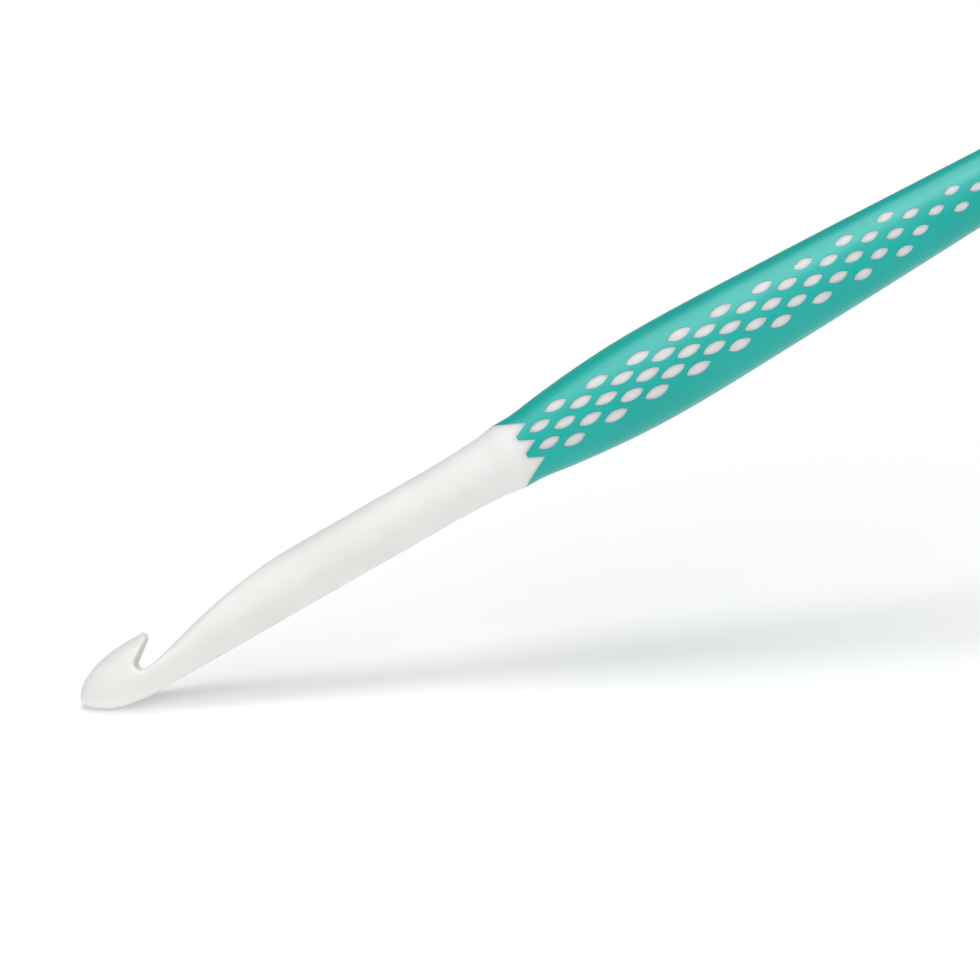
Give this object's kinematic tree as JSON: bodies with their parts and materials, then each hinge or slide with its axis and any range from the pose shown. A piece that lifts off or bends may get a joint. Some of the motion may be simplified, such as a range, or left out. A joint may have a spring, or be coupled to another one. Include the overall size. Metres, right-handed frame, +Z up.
{
  "type": "crochet hook",
  "caption": "Slim inline crochet hook: rigid white shaft with a rounded nose, throat and ramp, and a swelling soft grip pierced by small pointed windows.",
  "frame": {"origin": "middle of the underside of the bounding box, under the hook's axis and halfway along it", "axes": "+X along the hook from its nose to its butt, +Z up through the open side of the throat, the windows face -Y and +Y"},
  "size_m": [0.17, 0.0112, 0.0113],
  "materials": {
    "core_polymer": "satin warm white moulded polymer",
    "grip_elastomer": "fine matt soft-touch teal elastomer"
  },
  "bodies": {
    "root": {"hook_core": "core_polymer", "soft_grip": "grip_elastomer"}
  },
  "joints": []
}
